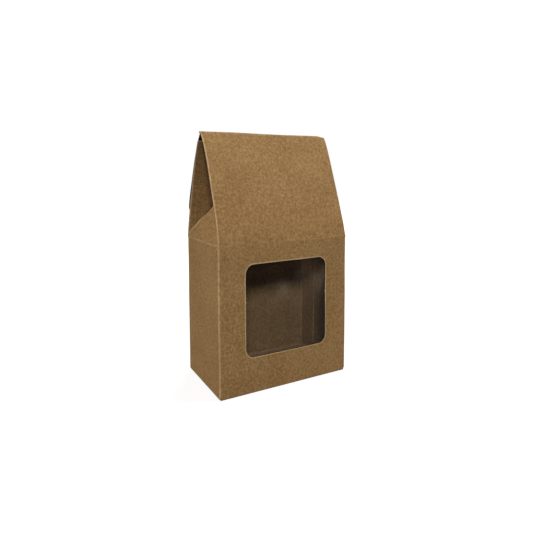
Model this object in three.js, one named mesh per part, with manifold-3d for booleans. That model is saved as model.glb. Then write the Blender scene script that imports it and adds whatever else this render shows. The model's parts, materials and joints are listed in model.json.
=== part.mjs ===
// Windowed coffee box: a kraft card carton with a sloped roof, a film window and a closure flap.
// Millimetres. X runs across the front, the front faces -Y and Z is up.
// The origin is the middle of the base, on the surface that the box stands on.
import * as THREE from "three";
import { mergeVertices } from "three/addons/utils/BufferGeometryUtils.js";
import Module from "manifold-3d";

const wasm = await Module();
wasm.setup();

// The card and its creases
const card = 0.6; // thickness of the card
const wallCrease = 1.2; // outer radius of the upright folds
const baseCrease = 1; // outer radius of the folds round the base
const ridgeCrease = 1.8; // outer radius of the rolled fold at the ridge
const clearance = 0.35; // room between pieces, or between flaps, that only touch
const bite = 0.1; // how far two panels run into each other where they are creased or glued

// The four walls
const width = 90;
const depth = 50.6;
const shoulderHeight = 89.3; // where the walls end and the roof panels lean in

// The roof
const ridgeHeight = 155.3;
const ridgeOffset = 0.7; // how far the middle of the ridge stands behind the middle of the base
const frontBowLeft = 3.6; // how far the front roof panel bellies out along its left edge
const frontBowRight = 0.9; // and along its right edge
const backBow = 1.5;
const backRoofDrop = 5.6; // from the top of the ridge down to the back roof panel's free edge
const backRoofBehind = 3.7; // from the middle of the ridge back to that edge

// The closure flap, which lies over the back roof panel
const flapInset = 0.8; // from each side of the box
const flapEndRise = 13; // from the shoulder up to the flap's free edge
const flapEndInset = 0.4; // from the back wall's face in to that edge
const flapBow = 3;
const flapCorner = 7;

// The tongue that locks the flap in a slit of the back roof panel
const tongueWidth = 30;
const tongueTaper = 4; // what each side loses towards the tip
const tongueLength = 12;
const tongueCrease = 1.2;
const slitClearance = 0.5;

// The dust flaps, which lean in from the side walls
const dustLean = 8; // degrees from upright
const dustHeight = 27; // along the flap, at its front end
const dustRearHeight = 2.9; // along the flap, at its rear end

// The window and its film
const windowWidth = 56.6;
const windowHeight = 55.6;
const windowDrop = 11.8; // from the shoulder down to the window's upper edge
const windowShift = 0.4; // the window sits this far right of the middle
const windowCorner = 5.5;
const nickHeight = 0.6; // share of the window's height at which a die-cut nick stands
const nickWidth = 0.9;
const nickReach = 0.45; // how far a nick stands into the window
const filmThickness = 0.2;
const filmMargin = 8; // glued strip all round the window
const filmGlue = 0.1;

// The glue tab inside the right wall, and the base
const tabWidth = 15;
const tabTaper = 6; // how much shorter the tab's free edge is at each end
const hookReach = 4; // how far the hooked halves of the base panels pass the middle
const seamGap = 0.4;
const baseFlapReach = 27; // length of the inner flaps, from the side walls
const creaseLeg = 3; // length of wall that each base crease carries

const crossSteps = 14;
const riseSteps = 16;
const creaseSteps = 6;

// Sizes worked out from the ones above
const left = -width / 2;
const right = width / 2;
const front = -depth / 2;
const back = depth / 2;
const ridge = new THREE.Vector2(ridgeOffset, ridgeHeight - ridgeCrease);
const flapEnd = new THREE.Vector2(back - flapEndInset, shoulderHeight + flapEndRise);
const crownSlope = 8; // steepness of the crown curve at both its ends
const frontLean = Math.atan2(
  ridge.x - front - ridgeCrease + (crownSlope * (frontBowLeft + frontBowRight)) / 2,
  ridge.y - shoulderHeight,
);
const flapLean = Math.atan2(flapEnd.x - ridge.x + crownSlope * flapBow, ridge.y - flapEnd.y);
const hinge = pointOnRidge(flapLean);
const windowMiddle = shoulderHeight - windowDrop - windowHeight / 2;
const origin = new THREE.Vector2();

// A point on the outside of the ridge roll, in (y, z). The angle is from level, at the back.
function pointOnRidge(angle) {
  return new THREE.Vector2(Math.cos(angle), Math.sin(angle)).multiplyScalar(ridgeCrease).add(ridge);
}

// A panel's belly from one crease to the next: quick to rise, then nearly level.
function crown(t) {
  return 1 - (2 * t - 1) ** 4;
}

function steps(count, from = 0, to = 1) {
  return Array.from({ length: count + 1 }, (_, i) => from + ((to - from) * i) / count);
}

// Meshes and solids

function toSolid(geometry) {
  const bare = new THREE.BufferGeometry();
  bare.setAttribute("position", geometry.getAttribute("position"));
  bare.setIndex(geometry.getIndex());
  const merged = mergeVertices(bare, 1e-4);
  return new wasm.Manifold(
    new wasm.Mesh({
      numProp: 3,
      vertProperties: merged.getAttribute("position").array,
      triVerts: new Uint32Array(merged.getIndex().array),
    }),
  );
}

function toGeometry(solid) {
  const mesh = solid.getMesh();
  const geometry = new THREE.BufferGeometry();
  geometry.setAttribute("position", new THREE.BufferAttribute(mesh.vertProperties, 3));
  geometry.setIndex(new THREE.BufferAttribute(mesh.triVerts, 1));
  const facets = geometry.toNonIndexed();
  facets.computeVertexNormals();
  return facets;
}

function join(solids) {
  return solids.reduce((sum, solid) => sum.add(solid));
}

// An outline drawn in (x, y), (y, z) or (x, z) and pushed along the third axis.
const planes = {
  xy: new THREE.Matrix4(),
  yz: new THREE.Matrix4().makeBasis(axis(0, 1, 0), axis(0, 0, 1), axis(1, 0, 0)),
  xz: new THREE.Matrix4().makeBasis(axis(1, 0, 0), axis(0, 0, 1), axis(0, -1, 0)),
};

function axis(x, y, z) {
  return new THREE.Vector3(x, y, z);
}

function prism(shape, plane, from, to) {
  const geometry = new THREE.ExtrudeGeometry(shape, {
    depth: to - from,
    bevelEnabled: false,
    curveSegments: creaseSteps,
  });
  geometry.translate(0, 0, plane === "xz" ? -to : from);
  geometry.applyMatrix4(planes[plane]);
  return toSolid(geometry);
}

function roundedRectangle(x0, y0, x1, y1, radius) {
  const path = new THREE.Shape();
  path.absarc(x1 - radius, y0 + radius, radius, -Math.PI / 2, 0);
  path.absarc(x1 - radius, y1 - radius, radius, 0, Math.PI / 2);
  path.absarc(x0 + radius, y1 - radius, radius, Math.PI / 2, Math.PI);
  path.absarc(x0 + radius, y0 + radius, radius, Math.PI, (3 * Math.PI) / 2);
  path.closePath();
  return path;
}

// A folded strip of card seen on edge: an L whose outer line runs start, corner, end, with the
// card to the left of the way it runs and a rounded crease at the corner.
function creasedStrip(start, corner, end, radius) {
  const inwards = start.clone().sub(corner).normalize();
  const onwards = end.clone().sub(corner).normalize();
  const centre = corner.clone().addScaledVector(inwards.clone().add(onwards), radius);
  const arc = (size) =>
    steps(creaseSteps, 0, Math.PI / 2).map((turn) =>
      centre
        .clone()
        .addScaledVector(onwards, -size * Math.cos(turn))
        .addScaledVector(inwards, -size * Math.sin(turn)),
    );
  return new THREE.Shape([
    start,
    ...arc(radius),
    end,
    end.clone().addScaledVector(inwards, card),
    ...arc(radius - card).reverse(),
    start.clone().addScaledVector(onwards, card),
  ]);
}

// A curved panel. place(u, v) gives a point of its outer face, and the card lies behind that face.
function panel(place, us, vs) {
  const nudge = 1e-3;
  const faceNormal = (u, v) => {
    const along = place(u + nudge, v).sub(place(u - nudge, v));
    const up = place(u, v + nudge).sub(place(u, v - nudge));
    return along.cross(up).normalize();
  };
  const corners = [];
  for (const depthIn of [0, -card]) {
    for (const u of us) {
      for (const v of vs) {
        corners.push(place(u, v).addScaledVector(faceNormal(u, v), depthIn));
      }
    }
  }
  const inner = us.length * vs.length;
  const at = (i, j) => i * vs.length + j;
  const triangles = [];
  const quad = (a, b, c, d) => triangles.push(a, b, c, a, c, d);
  const lastU = us.length - 1;
  const lastV = vs.length - 1;
  for (let i = 0; i < lastU; i++) {
    for (let j = 0; j < lastV; j++) {
      const face = [at(i, j), at(i + 1, j), at(i + 1, j + 1), at(i, j + 1)];
      quad(...face);
      quad(...face.reverse().map((k) => k + inner));
    }
    quad(at(i, 0), at(i, 0) + inner, at(i + 1, 0) + inner, at(i + 1, 0));
    quad(at(i + 1, lastV), at(i + 1, lastV) + inner, at(i, lastV) + inner, at(i, lastV));
  }
  for (let j = 0; j < lastV; j++) {
    quad(at(0, j + 1), at(0, j + 1) + inner, at(0, j) + inner, at(0, j));
    quad(at(lastU, j), at(lastU, j) + inner, at(lastU, j + 1) + inner, at(lastU, j + 1));
  }
  const geometry = new THREE.BufferGeometry().setFromPoints(corners);
  geometry.setIndex(triangles);
  return toSolid(geometry);
}

// The carton's panels

function walls() {
  const ring = roundedRectangle(left, front, right, back, wallCrease);
  ring.holes.push(
    roundedRectangle(left + card, front + card, right - card, back - card, wallCrease - card),
  );
  return prism(ring, "xy", baseCrease + card, shoulderHeight);
}

// The outer face of the front roof panel, in (y, z), at a share u of the width and t of the rise.
function frontRoofLine(u, t) {
  const line = new THREE.Vector2(front + bite, shoulderHeight - clearance);
  line.lerp(pointOnRidge(Math.PI - frontLean), t);
  line.x -= THREE.MathUtils.lerp(frontBowLeft, frontBowRight, u) * crown(t);
  return line;
}

// The front roof panel runs on over the ridge, as far as the crease of the closure flap.
function frontRoof() {
  const place = (u, v) => {
    const roll = THREE.MathUtils.lerp(Math.PI - frontLean, flapLean, v - 1);
    const line = v <= 1 ? frontRoofLine(u, v) : pointOnRidge(roll);
    return axis(left + u * width, line.x, line.y);
  };
  const rows = [...steps(riseSteps), ...steps(creaseSteps, 1, 2).slice(1)];
  return panel(place, steps(crossSteps), rows);
}

function backRoofLine(t) {
  const line = new THREE.Vector2(back - bite, shoulderHeight - clearance);
  line.lerp(new THREE.Vector2(ridge.x + backRoofBehind, ridgeHeight - backRoofDrop), t);
  line.x += backBow * crown(t);
  return line;
}

function backRoof() {
  const place = (u, v) => {
    const line = backRoofLine(v);
    return axis(right - u * width, line.x, line.y);
  };
  return panel(place, steps(2), steps(riseSteps));
}

// The slit follows the tongue's swing, so it is cut at the height where the tongue passes through.
function slit() {
  const halfWidth = tongueWidth / 2 + slitClearance;
  const reach = tongueRadius();
  const swing = new THREE.Shape();
  const from = -Math.PI / 2;
  const to = Math.atan2(flapEnd.y - hinge.y, flapEnd.x - hinge.x);
  swing.absarc(hinge.x, hinge.y, reach + slitClearance, from, to);
  swing.absarc(hinge.x, hinge.y, reach - card - slitClearance, to, from, true);
  swing.closePath();
  return prism(swing, "yz", -halfWidth, halfWidth);
}

// A dust flap for the left side, in the upright plane of its wall; its edge towards the front
// follows the inside of the front roof panel.
function dustFlap(side) {
  const u = side < 0 ? 0 : 1;
  const room = card + clearance;
  const shape = new THREE.Shape();
  shape.moveTo(front + room, 0);
  const rear = back - room;
  shape.lineTo(rear, 0);
  shape.lineTo(rear - clearance, dustRearHeight);
  const lean = THREE.MathUtils.degToRad(dustLean);
  const rise = ridge.y - shoulderHeight;
  for (const height of steps(creaseSteps, dustHeight, 0).slice(0, -1)) {
    const line = frontRoofLine(u, (height * Math.cos(lean)) / rise);
    shape.lineTo(line.x + room / Math.cos(frontLean), height);
  }
  const geometry = new THREE.ExtrudeGeometry(shape, { depth: card, bevelEnabled: false });
  geometry.applyMatrix4(planes.yz);
  const turned = new THREE.Matrix4().makeRotationY(lean);
  const placed = new THREE.Matrix4().makeTranslation(left + bite, 0, shoulderHeight - clearance);
  geometry.applyMatrix4(turned).applyMatrix4(placed);
  const flap = toSolid(geometry);
  return side < 0 ? flap : flap.mirror([1, 0, 0]);
}

function windowOutline(margin) {
  const halfWidth = windowWidth / 2 + margin;
  const halfHeight = windowHeight / 2 + margin;
  return roundedRectangle(
    windowShift - halfWidth,
    windowMiddle - halfHeight,
    windowShift + halfWidth,
    windowMiddle + halfHeight,
    windowCorner,
  );
}

// The die leaves a tiny nick of card on each upright edge of the window.
function windowHole() {
  const hole = prism(windowOutline(0), "xz", front - card, front + 2 * card);
  const height = windowMiddle + windowHeight * (nickHeight - 0.5);
  const nicks = [-1, 1].map((side) => {
    const edge = windowShift + (side * windowWidth) / 2;
    const nick = new THREE.Shape();
    nick.moveTo(edge + side * nickReach, height - nickWidth);
    nick.lineTo(edge + side * nickReach, height + nickWidth);
    nick.lineTo(edge - side * nickReach, height + nickWidth / 4);
    nick.lineTo(edge - side * nickReach, height - nickWidth / 4);
    nick.closePath();
    return prism(nick, "xz", front - 2 * card, front + 3 * card);
  });
  return hole.subtract(join(nicks));
}

// The tab that joins the ends of the blank: hinged to the back wall, glued inside the right wall.
function glueTab() {
  const shape = new THREE.Shape();
  shape.moveTo(back - card + bite, baseCrease + 2 * card);
  shape.lineTo(back - card + bite, shoulderHeight - clearance);
  shape.lineTo(back - tabWidth, shoulderHeight - tabTaper);
  shape.lineTo(back - tabWidth, baseCrease + tabTaper);
  shape.closePath();
  return prism(shape, "yz", right - 2 * card, right - card + bite);
}

// The base: two outer panels, creased to the front and back walls, hook past each other in the
// middle, and an inner flap from each side wall is glued across them.
function basePanel(side) {
  const wall = (side * depth) / 2;
  const start = new THREE.Vector2(wall, creaseLeg);
  const corner = new THREE.Vector2(wall, 0);
  const end = new THREE.Vector2(wall - side * creaseLeg, 0);
  const halfWidth = width / 2 - wallCrease;
  const fold = prism(creasedStrip(start, corner, end, baseCrease), "yz", -halfWidth, halfWidth);
  const root = creaseLeg - bite - depth / 2;
  const gap = seamGap / 2;
  const outline = [
    [-halfWidth, root],
    [halfWidth, root],
    [halfWidth, -hookReach - gap],
    [-gap, -hookReach - gap],
    [-gap, hookReach - gap],
    [-halfWidth, hookReach - gap],
  ];
  const points = outline.map(([x, y]) => new THREE.Vector2(-side * x, -side * y));
  return fold.add(prism(new THREE.Shape(points), "xy", 0, card));
}

function baseFlap(side) {
  const wall = (side * width) / 2;
  const start = new THREE.Vector2(wall, card + creaseLeg);
  const corner = new THREE.Vector2(wall, card);
  const end = new THREE.Vector2(wall - side * creaseLeg, card);
  const strip = creasedStrip(start, corner, end, baseCrease);
  const fold = prism(strip, "xz", front + wallCrease, back - wallCrease);
  const halfDepth = depth / 2 - wallCrease - clearance;
  const taper = halfDepth - hookReach;
  const root = creaseLeg - bite - width / 2;
  const tip = baseFlapReach - width / 2;
  const outline = [
    [root, -halfDepth],
    [tip - taper, -halfDepth],
    [tip, -hookReach],
    [tip, hookReach],
    [tip - taper, halfDepth],
    [root, halfDepth],
  ];
  const points = outline.map(([x, y]) => new THREE.Vector2(-side * x, -side * y));
  return fold.add(prism(new THREE.Shape(points), "xy", card - bite, 2 * card));
}

function carton() {
  const panels = [
    walls(),
    frontRoof(),
    backRoof().subtract(slit()),
    dustFlap(-1),
    dustFlap(1),
    glueTab(),
    basePanel(-1),
    basePanel(1),
    baseFlap(-1),
    baseFlap(1),
  ];
  return join(panels).subtract(windowHole());
}

// The closure flap

// The outer face of the flap, in (y, z), from its crease at the ridge to its free edge.
function flapLine(t) {
  const start = new THREE.Vector2(Math.sin(flapLean), -Math.cos(flapLean));
  const line = start.multiplyScalar(clearance).add(hinge).lerp(flapEnd, t);
  line.x += flapBow * crown(t);
  return line;
}

// Radius, about the hinge, of the tongue's outer face once it has left its crease.
function tongueRadius() {
  return Math.hypot(flapEnd.x - tongueCrease - hinge.x, flapEnd.y - hinge.y) + tongueCrease;
}

// The tongue's outer face, in (y, z): a short leg on the flap up to v = 1, its crease up to v = 2,
// and then its own swing about the hinge, so that it draws straight out of the slit.
function tongueLine(v) {
  const centre = new THREE.Vector2(flapEnd.x - tongueCrease, flapEnd.y);
  const outwards = centre.clone().sub(hinge).angle();
  if (v <= 1) return new THREE.Vector2(flapEnd.x, flapEnd.y + card * (1 - v));
  const turn = v <= 2 ? (outwards - 2 * Math.PI) * (v - 1) : 0;
  if (v <= 2) return new THREE.Vector2(tongueCrease, 0).rotateAround(origin, turn).add(centre);
  const sweep = (tongueLength / tongueRadius()) * (v - 2);
  return new THREE.Vector2(tongueRadius(), 0).rotateAround(origin, outwards - sweep).add(hinge);
}

function tongue() {
  const place = (u, v) => {
    const line = tongueLine(v);
    const halfWidth = tongueWidth / 2 - tongueTaper * Math.max(0, v - 2) ** 2;
    return axis((2 * u - 1) * halfWidth, line.x, line.y);
  };
  return panel(place, steps(2), [0, ...steps(2 * creaseSteps, 1, 3)]);
}

function closureFlap() {
  const place = (u, v) => {
    const line = flapLine(v);
    return axis(left + flapInset + u * (width - 2 * flapInset), line.x, line.y);
  };
  const sheet = panel(place, steps(2), steps(riseSteps));
  const outline = roundedRectangle(
    left + flapInset,
    flapEnd.y,
    right - flapInset,
    ridgeHeight + flapCorner,
    flapCorner,
  );
  return sheet.intersect(prism(outline, "xz", front, back + flapBow)).add(tongue());
}

function windowFilm() {
  const inside = front + card + filmGlue;
  return prism(windowOutline(filmMargin), "xz", inside, inside + filmThickness);
}

// Finishes

const kraft = new THREE.MeshStandardMaterial({ color: "#a07c50", roughness: 0.85, metalness: 0 });
const film = new THREE.MeshStandardMaterial({
  color: "#f2f2ef",
  roughness: 0.1,
  metalness: 0,
  transparent: true,
  opacity: 0.2,
});

function piece(name, solid, material) {
  const mesh = new THREE.Mesh(toGeometry(solid), material);
  mesh.name = name;
  return mesh;
}

const coffeeBox = new THREE.Group();
coffeeBox.add(piece("carton", carton(), kraft));
coffeeBox.add(piece("window_film", windowFilm(), film));
coffeeBox.add(piece("closure_flap", closureFlap(), kraft));

export default coffeeBox;
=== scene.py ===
import json
import math

import bpy
from bpy.props import FloatProperty, FloatVectorProperty, PointerProperty
from mathutils import Matrix, Vector

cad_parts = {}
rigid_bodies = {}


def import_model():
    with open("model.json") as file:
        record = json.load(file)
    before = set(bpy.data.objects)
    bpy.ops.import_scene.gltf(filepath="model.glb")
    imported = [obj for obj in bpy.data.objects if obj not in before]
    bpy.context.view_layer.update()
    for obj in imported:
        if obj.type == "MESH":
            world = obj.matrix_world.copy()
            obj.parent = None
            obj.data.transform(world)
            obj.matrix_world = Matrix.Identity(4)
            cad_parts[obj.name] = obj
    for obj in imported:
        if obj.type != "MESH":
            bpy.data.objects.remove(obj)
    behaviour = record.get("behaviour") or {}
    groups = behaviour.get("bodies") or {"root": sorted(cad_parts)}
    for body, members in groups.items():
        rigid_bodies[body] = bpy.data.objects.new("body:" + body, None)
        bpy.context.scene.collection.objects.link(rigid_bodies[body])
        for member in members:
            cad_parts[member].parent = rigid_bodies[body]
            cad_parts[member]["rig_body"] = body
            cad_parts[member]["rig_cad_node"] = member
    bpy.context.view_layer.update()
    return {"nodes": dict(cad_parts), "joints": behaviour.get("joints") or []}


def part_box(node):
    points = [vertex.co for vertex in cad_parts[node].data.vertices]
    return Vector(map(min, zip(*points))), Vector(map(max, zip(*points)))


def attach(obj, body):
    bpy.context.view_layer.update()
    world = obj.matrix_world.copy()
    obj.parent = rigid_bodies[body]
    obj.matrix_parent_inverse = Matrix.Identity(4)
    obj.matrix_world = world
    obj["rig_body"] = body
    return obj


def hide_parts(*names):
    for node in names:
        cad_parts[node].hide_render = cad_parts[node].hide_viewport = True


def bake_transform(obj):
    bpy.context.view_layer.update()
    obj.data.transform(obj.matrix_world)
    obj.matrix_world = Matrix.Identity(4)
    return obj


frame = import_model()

bl_info = {
    "name": "Windowed coffee box",
    "version": (1, 0, 0),
    "blender": (4, 5, 0),
    "location": "3D View > Sidebar > Coffee Box",
    "description": "Dresses the frame of a folded kraft card box with a film window",
    "category": "Object",
}

MM = 0.001

# Places that the frame gives
CARTON_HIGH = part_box("carton")[1]
FILM_LOW, FILM_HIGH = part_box("window_film")
FLAP_LOW, FLAP_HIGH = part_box("closure_flap")
HINGE = Vector(frame["joints"][0]["pos_m"])

# Sizes of the folded card
CARD = 0.6 * MM
SHOULDER = 89.3 * MM
WALL_CREASE = 1.2 * MM
RIDGE_CREASE = 1.8 * MM
CREASE_GAP = 0.35 * MM
RIDGE_END_DROP = 0.9 * MM
ROOF_FOOT_DRAW = 0.35 * MM
FILM_MARGIN = 8 * MM
WINDOW_CORNER = 5.5 * MM

# The plane square to the side walls along the sloping free edges of the dust flaps
DUST_EDGE_NORMAL = (0, 0.4986, 0.8669)
DUST_EDGE_DISTANCE = 91.57 * MM

# The height where the painted highlight on the lower half of those edges gives way to the painted
# shade of the slit above
DUST_EDGE_MIDDLE = 104 * MM


def linear(colour):
    """Linear red, green and blue of an sRGB colour written as #rrggbb."""
    parts = [int(colour[i : i + 2], 16) / 255 for i in (1, 3, 5)]
    return [c / 12.92 if c <= 0.04045 else ((c + 0.055) / 1.055) ** 2.4 for c in parts]


class CoffeeBoxCard(bpy.types.PropertyGroup):
    """Colours and surface of the kraft card."""

    colour: FloatVectorProperty(
        name="Card",
        description="Main colour of the kraft card",
        subtype="COLOR",
        default=linear("#8b6b43"),
    )
    dark: FloatVectorProperty(
        name="Dark mottle",
        description="Colour of the denser patches of fibre",
        subtype="COLOR",
        default=linear("#775834"),
    )
    pale: FloatVectorProperty(
        name="Pale mottle",
        description="Colour of the thinner patches of fibre",
        subtype="COLOR",
        default=linear("#9e7e55"),
    )
    # This colour also paints highlight on folds, the window rim and the dust flaps' edges.
    worn_and_highlight: FloatVectorProperty(
        name="Folds",
        description="Colour of stretched fibres on folds and along cut edges",
        subtype="COLOR",
        default=linear("#b89c76"),
    )
    cut: FloatVectorProperty(
        name="Cut edges",
        description="Colour of the die-cut edges of the card",
        subtype="COLOR",
        default=linear("#b09373"),
    )
    mottle: FloatProperty(
        name="Mottle",
        description="Size of one patch of the mottle",
        default=1.5 * MM,
        unit="LENGTH",
    )
    fibre: FloatProperty(
        name="Fibres",
        description="Length of the fibres, drawn coarser than real ones so that they show",
        default=4 * MM,
        unit="LENGTH",
    )
    warp: FloatProperty(
        name="Warp",
        description="How far the panels stray from flat",
        default=0.5 * MM,
        unit="LENGTH",
    )
    grid: FloatProperty(
        name="Grid",
        description="Spacing of the cuts that let the panels warp",
        default=5 * MM,
        unit="LENGTH",
    )


class CoffeeBoxFilm(bpy.types.PropertyGroup):
    """The clear film behind the window."""

    tint: FloatVectorProperty(
        name="Film",
        description="Colour of the little that the film holds back",
        subtype="COLOR",
        default=linear("#625d56"),
    )
    # Painted light: the lower part's extra cover adds grey haze that makes the lower window look lit.
    cover: FloatProperty(
        name="Cover",
        description="Share of the light that the dull lower part of the film holds back",
        subtype="FACTOR",
        default=0.075,
        min=0,
        max=1,
    )
    slack: FloatProperty(
        name="Slack",
        description="How far the film waves between its glued borders",
        default=1.3 * MM,
        unit="LENGTH",
    )
    thickness: FloatProperty(
        name="Thickness",
        description="Thickness of the film",
        default=0.12 * MM,
        unit="LENGTH",
    )


class CoffeeBoxStage(bpy.types.PropertyGroup):
    """Camera, lamps and floor."""

    azimuth: FloatProperty(
        name="Azimuth",
        description="Turn of the camera round the box",
        subtype="ANGLE",
        default=math.radians(-28.15),
    )
    elevation: FloatProperty(
        name="Elevation",
        description="How far the camera looks down",
        subtype="ANGLE",
        default=math.radians(4.29),
    )
    roll: FloatProperty(
        name="Roll",
        description="Turn of the camera about its line of sight",
        subtype="ANGLE",
        default=math.radians(-0.25),
    )
    place: FloatVectorProperty(
        name="Camera",
        description="Where the camera stands",
        subtype="TRANSLATION",
        default=(-141.4 * MM, -254.6 * MM, 129.2 * MM),
    )
    lens: FloatProperty(
        name="Lens",
        description="Focal length in millimetres on a 36 mm wide sensor",
        default=30.39,
    )
    shift: FloatVectorProperty(
        name="Shift",
        description="How far the picture lies off the middle of the sensor, in its widths",
        size=2,
        default=(0.0133, -0.1087),
    )
    ambient: FloatProperty(
        name="Ambient",
        description="Strength of the light from all round",
        default=0.1,
    )


def choose(piece):
    """Leaves piece as the one selected and active object."""
    bpy.ops.object.select_all(action="DESELECT")
    piece.select_set(True)
    bpy.context.view_layer.objects.active = piece


def merged_copy(node, name):
    """A copy of a CAD node with its loose triangles merged into one skin."""
    choose(frame["nodes"][node])
    bpy.ops.object.duplicate()
    piece = bpy.context.object
    bpy.ops.object.parent_clear(type="CLEAR_KEEP_TRANSFORM")
    piece.name = name
    piece.data.name = name
    del piece["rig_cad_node"]
    del piece["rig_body"]
    bpy.ops.object.mode_set(mode="EDIT")
    bpy.ops.mesh.select_all(action="SELECT")
    bpy.ops.mesh.remove_doubles(threshold=0.001 * MM)
    bpy.ops.object.mode_set(mode="OBJECT")
    piece.data.materials.clear()
    return piece


def mark_cut_edges(piece):
    """Gives the second material to the faces that look along the card instead of through it."""
    deepest = 2 * MM
    step = 0.01 * MM
    for face in piece.data.polygons:
        inwards = -face.normal
        start = face.center + inwards * step
        hit, _, _, _ = piece.ray_cast(start, inwards, distance=deepest)
        face.material_index = 0 if hit else 1


def cut_grid(piece, low, high, spacing):
    """Cuts a piece by evenly spaced planes along all three axes, so that its panels can warp."""
    bpy.ops.object.mode_set(mode="EDIT")
    for axis in range(3):
        normal = [float(axis == k) for k in range(3)]
        count = int((high[axis] - low[axis]) / spacing)
        for k in range(1, count):
            point = [0, 0, 0]
            point[axis] = low[axis] + (high[axis] - low[axis]) * k / count
            bpy.ops.mesh.select_all(action="SELECT")
            bpy.ops.mesh.bisect(plane_co=point, plane_no=normal)
    bpy.ops.object.mode_set(mode="OBJECT")


def displace(piece, name, weigh, **settings):
    """Moves vertices by a Displace modifier, each by the share of it that weigh gives its place."""
    group = piece.vertex_groups.new(name=name)
    for vertex in piece.data.vertices:
        group.add([vertex.index], min(1, max(0, weigh(vertex.co))), "REPLACE")
    modifier = piece.modifiers.new(name, "DISPLACE")
    modifier.vertex_group = name
    for key, value in settings.items():
        setattr(modifier, key, value)
    choose(piece)
    bpy.ops.object.modifier_apply(modifier=name)
    piece.vertex_groups.remove(piece.vertex_groups[name])


def above_foot(place):
    """Weight of the card above the base, which keeps the foot of the walls flat."""
    foot = 2 * MM
    fade = 12 * MM
    return (place.z - foot) / fade


def ridge_end(place):
    """Weight of the right end of the ridge, whose corner is pressed round."""
    width = 3 * MM
    height = 6 * MM
    past = max(0, (place.x - CARTON_HIGH.x) / width + 1)
    rise = max(0, (place.z - CARTON_HIGH.z) / height + 1)
    return rise * past**2


def roof_foot(place):
    """Weight of the foot of the roof's right edges, which end in the rolled fold of the wall."""
    height = 9 * MM
    width = 0.7 * MM
    slip = 0.02
    above = (place.z - SHOULDER) / height
    if above < -slip or place.x < CARTON_HIGH.x - width:
        return 0
    return 1 - above


def warp_panels(piece, amount):
    """Lets the panels stray a little from flat. Both faces of the card move together."""
    waves = bpy.data.textures.new("card_warp", "CLOUDS")
    waves.cloud_type = "COLOR"
    waves.noise_scale = 34 * MM
    waves.noise_depth = 1
    displace(
        piece,
        "warp",
        above_foot,
        texture=waves,
        texture_coords="LOCAL",
        direction="RGB_TO_XYZ",
        mid_level=0.5,
        strength=amount,
    )


def press_ridge_end(piece):
    """Presses the right end of the ridge down."""
    displace(piece, "press", ridge_end, direction="Z", mid_level=0, strength=-RIDGE_END_DROP)


def draw_in_roof_foot(piece):
    """Draws the foot of the roof's right edges in."""
    displace(piece, "draw_in", roof_foot, direction="X", mid_level=0, strength=-ROOF_FOOT_DRAW)


def flat_sheet(name, width, length, columns, rows, place):
    """A flat sheet of columns by rows of faces, put in its place by a matrix."""
    bpy.ops.object.select_all(action="DESELECT")
    bpy.ops.mesh.primitive_grid_add(x_subdivisions=columns, y_subdivisions=rows, size=1)
    sheet = bpy.context.object
    sheet.name = name
    sheet.data.name = name
    bpy.ops.object.mode_set(mode="EDIT")
    bpy.ops.mesh.select_all(action="SELECT")
    bpy.ops.transform.resize(value=(width, length, 1))
    bpy.ops.object.mode_set(mode="OBJECT")
    sheet.matrix_world = place
    choose(sheet)
    bpy.ops.object.transform_apply(location=True, rotation=True, scale=True)
    return sheet


def thicken(sheet, thickness, offset):
    """Gives a shaped sheet its thickness, which lies by offset on one side or on both."""
    wall = sheet.modifiers.new("wall", "SOLIDIFY")
    wall.thickness = thickness
    wall.offset = offset
    choose(sheet)
    bpy.ops.object.modifier_apply(modifier=wall.name)
    bpy.ops.object.shade_smooth_by_angle(angle=math.radians(40))


def smooth_card(piece):
    """Shades the bowed panels and rolled folds smoothly and keeps the cut edges sharp."""
    choose(piece)
    bpy.ops.object.shade_smooth_by_angle(angle=math.radians(32))
    weigh = piece.modifiers.new("weigh", "WEIGHTED_NORMAL")
    weigh.keep_sharp = True
    weigh.weight = 80
    bpy.ops.object.modifier_apply(modifier=weigh.name)


def card_piece(node, name, body, materials):
    """A panel piece of warped card that stands for a CAD node. Its materials are the one for the
    faces and the one for the cut edges."""
    settings = bpy.context.scene.coffee_box_card
    piece = merged_copy(node, name)
    mark_cut_edges(piece)
    low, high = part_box(node)
    cut_grid(piece, low, high, settings.grid)
    warp_panels(piece, settings.warp)
    press_ridge_end(piece)
    draw_in_roof_foot(piece)
    smooth_card(piece)
    for material in materials:
        piece.data.materials.append(material)
    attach(piece, body)
    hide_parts(node)


def add_node(tree, kind, sockets=None, **settings):
    """Adds a node with its settings, and gives each named socket a value or a link."""
    node = tree.nodes.new(kind)
    for name, value in settings.items():
        setattr(node, name, value)
    for name, value in (sockets or {}).items():
        if isinstance(value, bpy.types.NodeSocket):
            tree.links.new(value, node.inputs[name])
        else:
            node.inputs[name].default_value = value
    return node


def new_material(name):
    """An empty node material, or the one of that name that is there already."""
    found = bpy.data.materials.get(name)
    if found:
        return found, None
    material = bpy.data.materials.new(name)
    material.use_nodes = True
    material.node_tree.nodes.clear()
    return material, material.node_tree


def unsigned_axes(tree, vector):
    """The three parts of a vector without their signs, so that left and right read alike."""
    vector = add_node(tree, "ShaderNodeVectorMath", {0: vector}, operation="ABSOLUTE")
    return add_node(tree, "ShaderNodeSeparateXYZ", {0: vector.outputs[0]}).outputs


def strongest(tree, masks):
    """The strongest of several masks. Each is a list of parts, which are multiplied."""
    found = None
    for mask, *parts in masks:
        for part in parts:
            node = add_node(tree, "ShaderNodeMath", {0: mask, 1: part}, operation="MULTIPLY")
            mask = node.outputs[0]
        if found:
            node = add_node(tree, "ShaderNodeMath", {0: found, 1: mask}, operation="MAXIMUM")
            mask = node.outputs[0]
        found = mask
    return found


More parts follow.
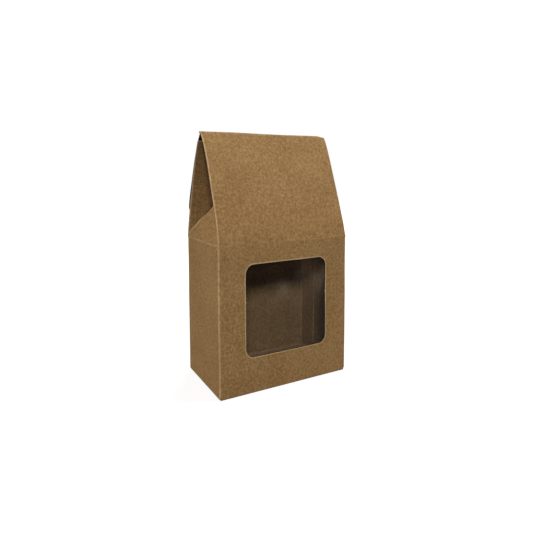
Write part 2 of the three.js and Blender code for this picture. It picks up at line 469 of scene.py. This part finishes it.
def dust_flap_rim(tree, coordinates):
    """Where the outer faces of the dust flaps come near their sloping free edges, as 0 or 1."""
    rim_width = 0.5 * MM
    border = 0.25 * MM
    along = add_node(
        tree,
        "ShaderNodeVectorMath",
        {0: coordinates.outputs["Object"], 1: DUST_EDGE_NORMAL},
        operation="DOT_PRODUCT",
    )
    near = add_node(
        tree,
        "ShaderNodeMapRange",
        {
            "Value": along.outputs["Value"],
            "From Min": DUST_EDGE_DISTANCE - rim_width - border,
            "From Max": DUST_EDGE_DISTANCE - rim_width,
        },
    )
    sideways = add_node(
        tree,
        "ShaderNodeMath",
        {0: unsigned_axes(tree, coordinates.outputs["Normal"])["X"], 1: 0.8},
        operation="GREATER_THAN",
    )
    return strongest(tree, [(near.outputs[0], sideways.outputs[0])])


def painted_shade(tree, coordinates, painted_side_shade):
    """How much painted shade darkens the card, from 0 to 1: inside the walls, under the roof and at
    the left under the ridge, in the slit over the dust flap and, by painted_side_shade, along the
    side of an inner face."""
    across, along, height = unsigned_axes(tree, coordinates.outputs["Object"])
    signed = add_node(tree, "ShaderNodeSeparateXYZ", {0: coordinates.outputs["Object"]}).outputs
    facing = add_node(tree, "ShaderNodeSeparateXYZ", {0: coordinates.outputs["Normal"]}).outputs
    skin = 0.35 * MM
    below = {}
    for name, value, limit in (
        ("side walls", across, CARTON_HIGH.x - skin),
        ("front and back", along, CARTON_HIGH.y - skin),
        ("shoulder", height, SHOULDER),
        ("right half", signed["X"], 0),
        ("underside", facing["Z"], -0.15),
        ("front face", facing["Y"], -0.3),
    ):
        node = add_node(tree, "ShaderNodeMath", {0: value, 1: limit}, operation="LESS_THAN")
        below[name] = node.outputs[0]

    nook_start = 8 * MM
    nook_end = 5 * MM
    roof_start = 106 * MM
    ramps = {}
    for name, value, start, end, level in (
        ("ridge", height, CARTON_HIGH.z - nook_start, CARTON_HIGH.z - nook_end, 1),
        ("ridge end", across, CARTON_HIGH.x - nook_start, CARTON_HIGH.x - nook_end, 1),
        ("slit", height, DUST_EDGE_MIDDLE - 1 * MM, DUST_EDGE_MIDDLE + 3 * MM, 1),
        ("flap side", across, FLAP_HIGH.x - 2.2 * MM, FLAP_HIGH.x - 1.5 * MM, painted_side_shade),
        ("roof", height, roof_start, CARTON_HIGH.z - nook_start, 0.45),
    ):
        sockets = {"Value": value, "From Min": start, "From Max": end, "To Max": level}
        ramps[name] = add_node(tree, "ShaderNodeMapRange", sockets).outputs[0]

    # Painted shade: the upper part of the inside is painted darker than the foot.
    depth = add_node(
        tree,
        "ShaderNodeMapRange",
        {
            "Value": height,
            "From Min": 60 * MM,
            "From Max": 70 * MM,
            "To Min": 0.42,
            "To Max": 0.8,
        },
        interpolation_type="SMOOTHSTEP",
    )
    left = below["right half"]
    return strongest(
        tree,
        [
            (ramps["ridge"], ramps["ridge end"], below["underside"], left),
            (dust_flap_rim(tree, coordinates), ramps["slit"], left),
            (ramps["flap side"], below["front face"], left),
            (below["side walls"], below["front and back"], below["shoulder"], depth.outputs[0]),
            (ramps["roof"], below["underside"]),
        ],
    )


def past_window(tree, coordinates):
    """How far a place on the front wall lies outside the window, whose corners are round."""
    middle = (FILM_LOW + FILM_HIGH) / 2
    straight = FILM_HIGH - middle - Vector((1, 0, 1)) * (FILM_MARGIN + WINDOW_CORNER)
    reach = coordinates.outputs["Object"]
    for operation, values in (
        ("MULTIPLY_ADD", {1: (1, 0, 1), 2: (-middle.x, 0, -middle.z)}),
        ("ABSOLUTE", {}),
        ("SUBTRACT", {1: (straight.x, 0, straight.z)}),
        ("MAXIMUM", {1: (0, 0, 0)}),
    ):
        node = add_node(tree, "ShaderNodeVectorMath", {0: reach, **values}, operation=operation)
        reach = node.outputs[0]
    reach = add_node(tree, "ShaderNodeVectorMath", {0: reach}, operation="LENGTH")
    past = add_node(
        tree,
        "ShaderNodeMath",
        {0: reach.outputs["Value"], 1: WINDOW_CORNER},
        operation="SUBTRACT",
    )
    return past.outputs[0]


def wear_and_highlight(tree, coordinates):
    """How pale the card is, from 0 to 1: stretched and scuffed fibres on folds and beside cut edges,
    and painted highlight on the rounded folds, the base crease, the window rim and the lower half
    of the dust flaps' edges.
    """
    across, along, height = unsigned_axes(tree, coordinates.outputs["Object"])
    signed = add_node(tree, "ShaderNodeSeparateXYZ", {0: coordinates.outputs["Object"]}).outputs
    facing = unsigned_axes(tree, coordinates.outputs["Normal"])
    above = add_node(tree, "ShaderNodeMath", {0: height, 1: SHOULDER}, operation="SUBTRACT")
    off_shoulder = add_node(tree, "ShaderNodeMath", {0: above.outputs[0]}, operation="ABSOLUTE")

    # Each band rises from its start to its end, and to a level that says how pale the card is, by
    # wear and by painted highlight.
    width = CARTON_HIGH.x
    depth = CARTON_HIGH.y
    top = CARTON_HIGH.z
    roll = WALL_CREASE
    blend = 0.5 * MM
    bands = {}
    for name, value, start, end, level in (
        ("below shoulder", height, SHOULDER + blend, SHOULDER, 1),
        ("above shoulder", height, SHOULDER, SHOULDER + blend, 1),
        ("fold across", across, width - roll, width - 0.25 * roll, 0.5),
        ("fold along", along, depth - roll, depth - 0.25 * roll, 1),
        ("shoulder", off_shoulder.outputs[0], 0.75 * MM, 0.2 * MM, 0.26),
        ("not to the front", facing["Y"], 0.9, 0.4, 1),
        ("left border", signed["X"], 1 * MM - width, 0.3 * MM - width, 1),
        ("not to the side", facing["X"], 0.8, 0.3, 1),
        ("window rim", past_window(tree, coordinates), 0.85 * MM, 0.2 * MM, 1),
        ("front wall", signed["Y"], -0.9 * depth, -0.95 * depth, 1),
        ("ridge", height, top - RIDGE_CREASE, top - 0.4 * RIDGE_CREASE, 0.22),
        ("inside across", across, width - 0.3 * MM, width - 0.5 * MM, 1),
        ("inside along", along, depth - 0.3 * MM, depth - 0.5 * MM, 1),
        ("foot", height, 3 * MM, 1.2 * MM, 0.4),
        ("corner across", across, width - 2 * roll, width - roll, 0.35),
        ("corner along", along, depth - 2 * roll, depth - roll, 1),
        ("lower half of the flap", height, DUST_EDGE_MIDDLE, DUST_EDGE_MIDDLE - 3 * MM, 0.9),
    ):
        bands[name] = add_node(
            tree,
            "ShaderNodeMapRange",
            {"Value": value, "From Min": start, "From Max": end, "To Max": level},
            interpolation_type="SMOOTHSTEP",
        ).outputs[0]

    flap_rim = dust_flap_rim(tree, coordinates)
    inside = (bands["inside across"], bands["inside along"])
    return strongest(
        tree,
        [
            (bands["fold across"], bands["fold along"], bands["below shoulder"]),
            (bands["shoulder"], bands["not to the front"]),
            (bands["left border"], bands["above shoulder"], bands["not to the side"]),
            (bands["window rim"], bands["front wall"]),
            (bands["ridge"],),
            (*inside, bands["foot"]),
            (*inside, bands["corner across"], bands["corner along"], bands["below shoulder"]),
            (flap_rim, bands["lower half of the flap"]),
        ],
    )


def kraft_card(settings, name="kraft_board", painted_side_shade=0):
    """Uncoated kraft board, pressed and dried between rolls: matt, with a cloudy mottle of denser
    and thinner patches, long fibres that run up the sheet, and a few specks of bark. Its colour
    also carries painted highlight on folds and edges, and painted shade inside the box, under the
    roof and, by painted_side_shade, along the side of an inner face."""
    material, tree = new_material(name)
    if not tree:
        return material
    coordinates = add_node(tree, "ShaderNodeTexCoord")
    place = coordinates.outputs["Object"]

    clouds = add_node(
        tree,
        "ShaderNodeTexNoise",
        {"Vector": place, "Scale": 1 / (24 * MM), "Detail": 2, "Roughness": 0.5},
    )
    mottle = add_node(
        tree,
        "ShaderNodeTexNoise",
        {"Vector": place, "Scale": 1 / settings.mottle, "Detail": 4, "Roughness": 0.62},
    )
    # Real fibres are about 0.03 mm wide. They are drawn a ninth as wide as they are long, some
    # 0.4 mm, so that they show. Each of three layers is turned to read another part of the noise.
    slender = 9
    turns = (-0.35, 0.12, 0.9)
    felt = 0
    for turn in turns:
        lie = add_node(
            tree,
            "ShaderNodeMapping",
            {"Vector": place, "Rotation": (turn, turn, 0), "Scale": (slender, slender, 1)},
        )
        strand = add_node(
            tree,
            "ShaderNodeTexNoise",
            {
                "Vector": lie.outputs[0],
                "Scale": 1 / settings.fibre,
                "Detail": 2,
                "Roughness": 0.55,
                "Distortion": 0.6,
            },
        )
        sockets = {0: strand.outputs[0], 1: 1 / len(turns), 2: felt}
        felt = add_node(tree, "ShaderNodeMath", sockets, operation="MULTIPLY_ADD").outputs[0]

    blotch = 0
    for pattern, share in ((clouds.outputs[0], 0.14), (mottle.outputs[0], 0.5), (felt, 0.36)):
        sockets = {0: pattern, 1: share, 2: blotch}
        blotch = add_node(tree, "ShaderNodeMath", sockets, operation="MULTIPLY_ADD").outputs[0]
    tone = add_node(tree, "ShaderNodeValToRGB", {"Fac": blotch})
    ramp = tone.color_ramp
    ramp.elements[0].position = 0.4
    ramp.elements[0].color = (*settings.dark, 1)
    ramp.elements[1].position = 0.6
    ramp.elements[1].color = (*settings.pale, 1)
    middle = ramp.elements.new(0.5)
    middle.color = (*settings.colour, 1)

    # Bark specks, about one to three square centimetres
    cells = add_node(
        tree,
        "ShaderNodeTexVoronoi",
        {"Vector": place, "Scale": 1 / (6 * MM), "Randomness": 1.0},
    )
    speck = add_node(
        tree,
        "ShaderNodeMapRange",
        {"Value": cells.outputs["Distance"], "From Min": 0.07, "From Max": 0.04, "To Max": 0.55},
    )
    bark = add_node(
        tree,
        "ShaderNodeMix",
        {0: speck.outputs[0], 6: tone.outputs[0], 7: (*linear("#4f3920"), 1)},
        data_type="RGBA",
    )

    wear_and_highlight_level = wear_and_highlight(tree, coordinates)
    patchy = add_node(
        tree,
        "ShaderNodeMapRange",
        {"Value": mottle.outputs[0], "From Min": 0.3, "From Max": 0.6, "To Min": 0.45},
    )
    wear_and_highlight_level = add_node(tree, "ShaderNodeMath", {0: wear_and_highlight_level, 1: patchy.outputs[0]}, operation="MULTIPLY")
    # Pale stretched fibres, and painted highlight on the rounded folds, the base crease, the window
    # rim and the dust flaps' lower edges.
    worn_and_highlight = add_node(
        tree,
        "ShaderNodeMix",
        {0: wear_and_highlight_level.outputs[0], 6: bark.outputs[2], 7: (*settings.worn_and_highlight, 1)},
        data_type="RGBA",
    )
    # Painted shade: mixes the colour towards near black wherever painted_shade says.
    painted_shade_colour = add_node(
        tree,
        "ShaderNodeMix",
        {
            0: painted_shade(tree, coordinates, painted_side_shade),
            6: worn_and_highlight.outputs[2],
            7: (*linear("#120b06"), 1),
        },
        data_type="RGBA",
    )

    grain = add_node(
        tree,
        "ShaderNodeTexNoise",
        {"Vector": place, "Scale": 1 / (0.7 * MM), "Detail": 3, "Roughness": 0.6},
    )
    relief = add_node(tree, "ShaderNodeMath", {0: grain.outputs[0], 1: felt}, operation="ADD")
    bump = add_node(
        tree,
        "ShaderNodeBump",
        {"Height": relief.outputs[0], "Strength": 0.5, "Distance": 0.12 * MM},
    )
    matt = add_node(
        tree,
        "ShaderNodeMapRange",
        {"Value": mottle.outputs[0], "To Min": 0.78, "To Max": 0.94},
    )
    shader = add_node(
        tree,
        "ShaderNodeBsdfPrincipled",
        {
            "Base Color": painted_shade_colour.outputs[2],
            "Roughness": matt.outputs[0],
            "Normal": bump.outputs[0],
            "IOR": 1.45,
            "Specular IOR Level": 0.12,
        },
    )
    add_node(tree, "ShaderNodeOutputMaterial", {"Surface": shader.outputs[0]})
    return material


def cut_edge(settings, name="kraft_board_cut_edge", painted_shade_from=None):
    """The die-cut edge of kraft board: torn fibre ends, paler and rougher than the faces. Where
    painted_shade_from is given, edges that lie farther from the middle than that are painted in
    shade."""
    material, tree = new_material(name)
    if not tree:
        return material
    place = add_node(tree, "ShaderNodeTexCoord").outputs["Object"]
    torn = add_node(
        tree,
        "ShaderNodeTexNoise",
        {"Vector": place, "Scale": 1 / (0.9 * MM), "Detail": 3, "Roughness": 0.7},
    )
    tone = add_node(tree, "ShaderNodeValToRGB", {"Fac": torn.outputs[0]})
    tone.color_ramp.elements[0].position = 0.3
    tone.color_ramp.elements[0].color = (*settings.colour, 1)
    tone.color_ramp.elements[1].position = 0.6
    tone.color_ramp.elements[1].color = (*settings.cut, 1)

    # Painted shade darkens the cut edges round the window and in the upper slit beside the dust
    # flaps.
    closure_foot = 120 * MM
    across, _, height = unsigned_axes(tree, place)
    limits = {}
    for name, value, limit in (
        ("inward", across, CARTON_HIGH.x - 0.9 * MM),
        ("below closure", height, closure_foot),
    ):
        node = add_node(tree, "ShaderNodeMath", {0: value, 1: limit}, operation="LESS_THAN")
        limits[name] = node.outputs[0]
    ramps = {}
    for name, start, end in (
        ("walls", SHOULDER, SHOULDER - 2 * MM),
        ("slit", DUST_EDGE_MIDDLE - 3 * MM, DUST_EDGE_MIDDLE),
    ):
        sockets = {"Value": height, "From Min": start, "From Max": end}
        ramps[name] = add_node(tree, "ShaderNodeMapRange", sockets).outputs[0]
    masks = [
        (ramps["walls"], limits["inward"]),
        (ramps["slit"], limits["inward"], limits["below closure"]),
    ]
    # Painted shade on the cut edges that lie past painted_shade_from.
    if painted_shade_from:
        sockets = {0: across, 1: painted_shade_from}
        outer = add_node(tree, "ShaderNodeMath", sockets, operation="GREATER_THAN")
        masks.append((outer.outputs[0],))
    tone = add_node(
        tree,
        "ShaderNodeMix",
        {0: strongest(tree, masks), 6: tone.outputs[0], 7: (*linear("#20150b"), 1)},
        data_type="RGBA",
    )
    bump = add_node(
        tree,
        "ShaderNodeBump",
        {"Height": torn.outputs[0], "Strength": 0.5, "Distance": 0.1 * MM},
    )
    shader = add_node(
        tree,
        "ShaderNodeBsdfPrincipled",
        {
            "Base Color": tone.outputs[2],
            "Roughness": 0.95,
            "Normal": bump.outputs[0],
            "Specular IOR Level": 0.2,
        },
    )
    add_node(tree, "ShaderNodeOutputMaterial", {"Surface": shader.outputs[0]})
    return material


def clear_film(settings):
    """Cast polyester film: clear and glossy, with a faint haze of scuffs. Its lower part covers more,
    up to a soft and slightly wavy line that slopes a little: painted light, whose grey haze makes the
    lower window look lit and leaves the upper part dark."""
    material, tree = new_material("clear_polyester_film")
    if not tree:
        return material
    place = add_node(tree, "ShaderNodeTexCoord").outputs["Object"]
    haze = add_node(
        tree,
        "ShaderNodeTexNoise",
        {"Vector": place, "Scale": 1 / (9 * MM), "Detail": 3, "Roughness": 0.6},
    )
    gloss = add_node(
        tree,
        "ShaderNodeMapRange",
        {"Value": haze.outputs[0], "From Min": 0.35, "From Max": 0.7, "To Min": 0.15, "To Max": 0.22},
    )
    # Painted light: the film covers more below this band than above it.
    painted_haze_to = 66 * MM
    painted_clear_from = 76 * MM
    wave = 12 * MM
    clear_share = 0.22
    slope = add_node(
        tree,
        "ShaderNodeVectorMath",
        {0: place, 1: (-0.2, 0, 1)},
        operation="DOT_PRODUCT",
    )
    edge = add_node(
        tree,
        "ShaderNodeMath",
        {0: haze.outputs[0], 1: wave, 2: slope.outputs["Value"]},
        operation="MULTIPLY_ADD",
    )
    cover = add_node(
        tree,
        "ShaderNodeMapRange",
        {
            "Value": edge.outputs[0],
            "From Min": painted_haze_to,
            "From Max": painted_clear_from,
            "To Min": settings.cover,
            "To Max": clear_share * settings.cover,
        },
        interpolation_type="SMOOTHSTEP",
    )
    shader = add_node(
        tree,
        "ShaderNodeBsdfPrincipled",
        {
            "Base Color": (*settings.tint, 1),
            "Roughness": gloss.outputs[0],
            "IOR": 1.5,
            "Specular IOR Level": 0.15,
            "Alpha": cover.outputs[0],
        },
    )
    add_node(tree, "ShaderNodeOutputMaterial", {"Surface": shader.outputs[0]})
    return material


class COFFEEBOX_OT_carton(bpy.types.Operator):
    """Makes the folded blank of card: walls, base, roof panels and dust flaps"""

    bl_idname = "coffee_box.carton"
    bl_label = "Carton"

    def execute(self, context):
        settings = context.scene.coffee_box_card
        materials = (kraft_card(settings), cut_edge(settings))
        card_piece("carton", "folded_carton", "carton", materials)
        return {"FINISHED"}


class COFFEEBOX_OT_base_corners(bpy.types.Operator):
    """Makes four small cubes of card that plug the holes the folds leave at the corners of the base.
    They stand in for the shade in those holes and take the card's painted shade.
    """

    bl_idname = "coffee_box.base_corners"
    bl_label = "Base corners"

    def execute(self, context):
        size = 1.3 * MM
        lift = 1.2 * MM
        bpy.ops.object.select_all(action="DESELECT")
        cubes = []
        for x, y in ((-1, -1), (-1, 1), (1, -1), (1, 1)):
            place = (x * (CARTON_HIGH.x - size), y * (CARTON_HIGH.y - size), lift)
            bpy.ops.mesh.primitive_cube_add(size=size, location=place)
            cubes.append(context.object)
        for cube in cubes:
            cube.select_set(True)
        bpy.ops.object.join()
        corners = context.object
        corners.name = "base_corners"
        corners.data.name = corners.name
        choose(corners)
        bpy.ops.object.transform_apply(location=True, rotation=True, scale=True)
        corners.data.materials.append(kraft_card(context.scene.coffee_box_card))
        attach(corners, "carton")
        return {"FINISHED"}


class COFFEEBOX_OT_closure_flap(bpy.types.Operator):
    """Makes the closure flap with its tongue"""

    bl_idname = "coffee_box.closure_flap"
    bl_label = "Closure flap"

    def execute(self, context):
        settings = context.scene.coffee_box_card
        # The flap's own copies of the card materials paint shade along its left inner side and on its
        # outer cut edges.
        painted_shade_from = FLAP_HIGH.x - 0.5 * MM
        materials = (
            kraft_card(settings, "kraft_board_flap", painted_side_shade=0.85),
            cut_edge(settings, "kraft_board_flap_edge", painted_shade_from),
        )
        card_piece("closure_flap", "closure_flap_card", "closure_flap", materials)
        return {"FINISHED"}


class COFFEEBOX_OT_closure_crease(bpy.types.Operator):
    """Makes the crease that carries the closure flap, as a strip between its panels"""

    bl_idname = "coffee_box.closure_crease"
    bl_label = "Closure crease"

    def execute(self, context):
        settings = context.scene.coffee_box_card
        ridge_middle = CARTON_HIGH.z - RIDGE_CREASE
        lean = math.asin((HINGE.z - ridge_middle) / RIDGE_CREASE)
        outwards = Vector((0, math.cos(lean), math.sin(lean)))
        down = Vector((0, math.sin(lean), -math.cos(lean)))
        under = 0.25 * MM  # how far the strip runs into the panel on each side
        sunk = 0.06 * MM  # how deep the score stands below the faces
        length = CREASE_GAP + 2 * under
        middle = HINGE + down * (CREASE_GAP / 2) - outwards * sunk
        turn = Matrix((Vector((1, 0, 0)), -down, outwards)).transposed().to_4x4()
        place = Matrix.Translation(middle) @ turn
        width = FLAP_HIGH.x - FLAP_LOW.x
        strip = flat_sheet("closure_crease", width, length, columns=60, rows=12, place=place)
        press_ridge_end(strip)
        thicken(strip, CARD - 2 * sunk, offset=-1)
        strip.data.materials.append(kraft_card(settings))
        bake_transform(strip)
        return {"FINISHED"}


class COFFEEBOX_OT_window_film(bpy.types.Operator):
    """Makes the clear film, glued behind the window and a little slack between its borders"""

    bl_idname = "coffee_box.window_film"
    bl_label = "Window film"

    def execute(self, context):
        settings = context.scene.coffee_box_film
        middle = (FILM_LOW + FILM_HIGH) / 2
        size = FILM_HIGH - FILM_LOW
        place = Matrix.Translation(middle) @ Matrix.Rotation(math.radians(90), 4, "X")
        film = flat_sheet("window_pane_film", size.x, size.z, columns=72, rows=72, place=place)
        ease = 12 * MM

        def off_border(place):
            """Weight of the film by how far it lies from the glued borders."""
            from_x = size.x / 2 - FILM_MARGIN - abs(place.x - middle.x)
            from_z = size.z / 2 - FILM_MARGIN - abs(place.z - middle.z)
            return min(from_x, from_z) / ease

        waves = bpy.data.textures.new("film_waves", "CLOUDS")
        waves.noise_scale = 17 * MM
        waves.noise_depth = 0
        displace(
            film,
            "slack",
            off_border,
            texture=waves,
            texture_coords="LOCAL",
            direction="Y",
            mid_level=0.35,
            strength=settings.slack,
        )
        thicken(film, settings.thickness, offset=0)
        film.data.materials.append(clear_film(settings))
        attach(film, "carton")
        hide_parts("window_film")
        return {"FINISHED"}


def seen_rays(tree):
    """1 where the camera sees, also mirrored or through the film, and 0 for scattered light."""
    rays = add_node(tree, "ShaderNodeLightPath").outputs
    kinds = ("Is Camera Ray", "Is Glossy Ray", "Is Transmission Ray")
    return strongest(tree, [(rays[kind],) for kind in kinds])


def studio_floor():
    """White seamless paper. The camera and reflections see it lifted to white, with the shadow
    of the box left on it."""
    material, tree = new_material("seamless_paper")
    if not tree:
        return material
    seen = seen_rays(tree)
    place = add_node(tree, "ShaderNodeTexCoord").outputs["Object"]
    away = add_node(tree, "ShaderNodeVectorMath", {0: place}, operation="LENGTH")
    fade = add_node(
        tree,
        "ShaderNodeMapRange",
        {
            "Value": away.outputs["Value"],
            "From Min": 120 * MM,
            "From Max": 450 * MM,
            "To Min": 0.74,
            "To Max": 1.0,
        },
        interpolation_type="SMOOTHSTEP",
    )
    # The box hides the paper under itself, which shows only through the slits of its base.
    inset = 1.2 * MM
    across, along, _ = unsigned_axes(tree, place)
    masks = []
    for value, half in ((across, CARTON_HIGH.x), (along, CARTON_HIGH.y)):
        sockets = {0: value, 1: half - inset}
        beside = add_node(tree, "ShaderNodeMath", sockets, operation="GREATER_THAN")
        masks.append((beside.outputs[0], seen, fade.outputs[0]))
    lift = strongest(tree, masks)
    tone = add_node(
        tree,
        "ShaderNodeMapRange",
        {"Value": seen, "To Min": 0.1, "To Max": 0.32},
    )
    paper = add_node(
        tree,
        "ShaderNodeBsdfPrincipled",
        {"Base Color": tone.outputs[0], "Roughness": 1.0, "Specular IOR Level": 0.0},
    )
    glow = add_node(tree, "ShaderNodeEmission", {"Strength": lift})
    both = add_node(tree, "ShaderNodeAddShader", {0: paper.outputs[0], 1: glow.outputs[0]})
    add_node(tree, "ShaderNodeOutputMaterial", {"Surface": both.outputs[0]})
    return material


def studio_world(strength):
    """A plain grey room that the camera and reflections see as white."""
    world = bpy.data.worlds.new("studio")
    world.use_nodes = True
    tree = world.node_tree
    tree.nodes.clear()
    seen = seen_rays(tree)
    level = add_node(
        tree,
        "ShaderNodeMapRange",
        {"Value": seen, "To Min": strength, "To Max": 1.0},
    )
    room = add_node(
        tree,
        "ShaderNodeBackground",
        {"Color": (1, 1, 1, 1), "Strength": level.outputs[0]},
    )
    add_node(tree, "ShaderNodeOutputWorld", {"Surface": room.outputs[0]})
    return world


def outward(azimuth, elevation):
    """The way from the box to a lamp or the camera. Azimuth 0 is in front, and 90 degrees right."""
    level = math.cos(elevation)
    return Vector((math.sin(azimuth) * level, -math.cos(azimuth) * level, math.sin(elevation)))


def add_lamp(name, azimuth, elevation, distance, size, level):
    """A square soft box that faces the box. level is the light that it alone gives a white
    surface turned towards it."""
    bpy.ops.object.select_all(action="DESELECT")
    back = outward(math.radians(azimuth), math.radians(elevation))
    aim = Vector((0, 0, 0.5 * CARTON_HIGH.z))
    bpy.ops.object.light_add(type="AREA", location=aim + back * distance)
    lamp = bpy.context.object
    lamp.name = name
    lamp.rotation_euler = back.to_track_quat("Z", "Y").to_euler()
    lamp.data.size = size
    lamp.data.energy = level * (math.pi * distance) ** 2
    return lamp


class COFFEEBOX_OT_stage(bpy.types.Operator):
    """Sets up the camera, the lamps, the world and the floor"""

    bl_idname = "coffee_box.stage"
    bl_label = "Stage"

    def execute(self, context):
        settings = context.scene.coffee_box_stage
        scene = context.scene
        scene.view_settings.view_transform = "Standard"
        scene.world = studio_world(settings.ambient)

        roll = settings.roll
        back = outward(settings.azimuth, settings.elevation)
        right = Vector((0, 0, 1)).cross(back).normalized()
        up = back.cross(right)
        level_right = right * math.cos(roll) + up * math.sin(roll)
        level_up = up * math.cos(roll) - right * math.sin(roll)
        bpy.ops.object.select_all(action="DESELECT")
        bpy.ops.object.camera_add()
        camera = context.object
        pose = Matrix((level_right, level_up, back)).transposed().to_4x4()
        pose.translation = Vector(settings.place)
        camera.matrix_world = pose
        camera.data.sensor_width = 36
        camera.data.lens = settings.lens
        camera.data.shift_x, camera.data.shift_y = settings.shift
        scene.camera = camera

        # Angles in degrees, distances and sizes in metres
        for name, azimuth, elevation, distance, size, level in (
            ("key_lamp", -26, 29, 1.5, 0.22, 0.7),
            ("side_lamp", -84, 26, 1.3, 0.6, 0.5),
            ("top_lamp", 68, 47, 0.42, 0.3, 0.5),
            ("back_lamp", 135, 32, 1.3, 0.8, 0.8),
        ):
            add_lamp(name, azimuth, elevation, distance, size, level)

        # A small warm lamp that shows only as the glare on the film
        glare = add_lamp("glare_lamp", 34, -11.5, distance=0.28, size=0.04, level=0.16)
        glare.visible_diffuse = False
        glare.data.color = linear("#ffe2c4")

        bpy.ops.object.select_all(action="DESELECT")
        bpy.ops.mesh.primitive_plane_add(size=6, location=(0, 0, -0.02 * MM))
        floor = context.object
        floor.name = "studio_floor"
        floor.data.materials.append(studio_floor())
        return {"FINISHED"}


class COFFEEBOX_PT_panel(bpy.types.Panel):
    """The pieces of the box and their settings"""

    bl_idname = "COFFEEBOX_PT_panel"
    bl_label = "Coffee Box"
    bl_space_type = "VIEW_3D"
    bl_region_type = "UI"
    bl_category = "Coffee Box"

    def draw(self, context):
        layout = self.layout
        for operator in OPERATORS:
            layout.operator(operator.bl_idname)
        for name in SETTINGS:
            box = layout.box()
            group = getattr(context.scene, name)
            for key in group.__annotations__:
                box.prop(group, key)


OPERATORS = (
    COFFEEBOX_OT_stage,
    COFFEEBOX_OT_carton,
    COFFEEBOX_OT_base_corners,
    COFFEEBOX_OT_closure_flap,
    COFFEEBOX_OT_closure_crease,
    COFFEEBOX_OT_window_film,
)
SETTINGS = {
    "coffee_box_card": CoffeeBoxCard,
    "coffee_box_film": CoffeeBoxFilm,
    "coffee_box_stage": CoffeeBoxStage,
}


def register():
    for group in (*SETTINGS.values(), *OPERATORS, COFFEEBOX_PT_panel):
        bpy.utils.register_class(group)
    for name, group in SETTINGS.items():
        setattr(bpy.types.Scene, name, PointerProperty(type=group))


def unregister():
    for name in SETTINGS:
        delattr(bpy.types.Scene, name)
    for group in reversed((*SETTINGS.values(), *OPERATORS, COFFEEBOX_PT_panel)):
        bpy.utils.unregister_class(group)


def main():
    register()
    bpy.ops.coffee_box.stage()
    bpy.ops.coffee_box.carton()
    bpy.ops.coffee_box.base_corners()
    bpy.ops.coffee_box.closure_flap()
    bpy.ops.coffee_box.closure_crease()
    bpy.ops.coffee_box.window_film()


if __name__ == "__main__":
    main()
